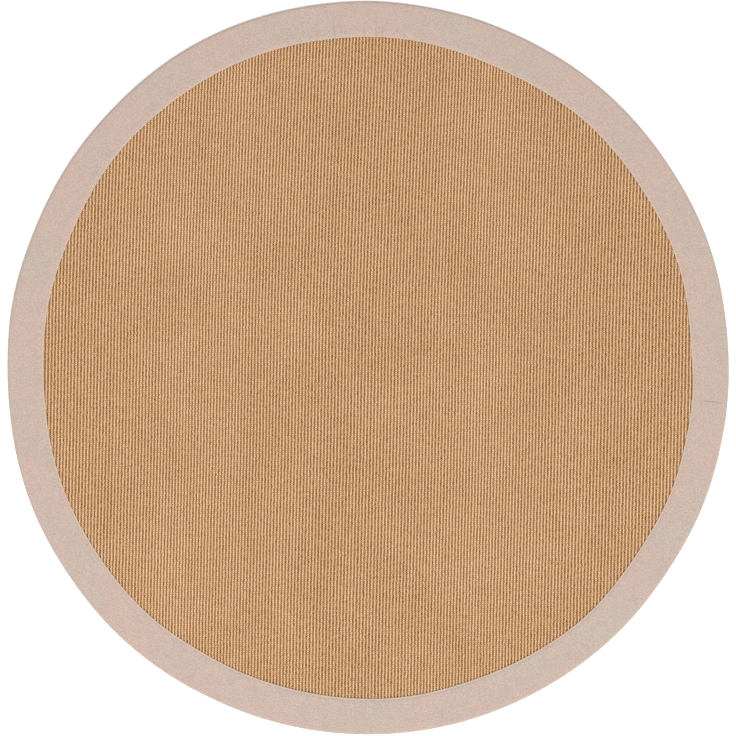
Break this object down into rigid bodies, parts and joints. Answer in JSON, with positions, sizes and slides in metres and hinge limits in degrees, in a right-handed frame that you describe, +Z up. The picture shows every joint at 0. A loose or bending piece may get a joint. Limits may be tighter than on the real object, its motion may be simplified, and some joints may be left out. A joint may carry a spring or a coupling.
{
  "type": "sisal rug",
  "caption": "Flat round floor rug: a ribbed sisal boucle panel with a wide cotton tape folded over its edge, which stops the cut weave fraying.",
  "frame": {"origin": "on the floor, at the middle of the rug's outline", "axes": "+Z up, away from the floor; +Y along the rug's slightly longer diameter, near the way the ribs run; +X across the ribs"},
  "size_m": [1.4988, 1.5238, 0.0093],
  "materials": {
    "sisal": "undyed golden sisal, boucle loops in straight ribs, dull, on a latex-coated back",
    "cotton_tape": "plain woven cotton tape, beige with a faint pink cast, matt"
  },
  "bodies": {
    "root": {"sisal_panel": "sisal", "cotton_binding": "cotton_tape"}
  },
  "joints": []
}
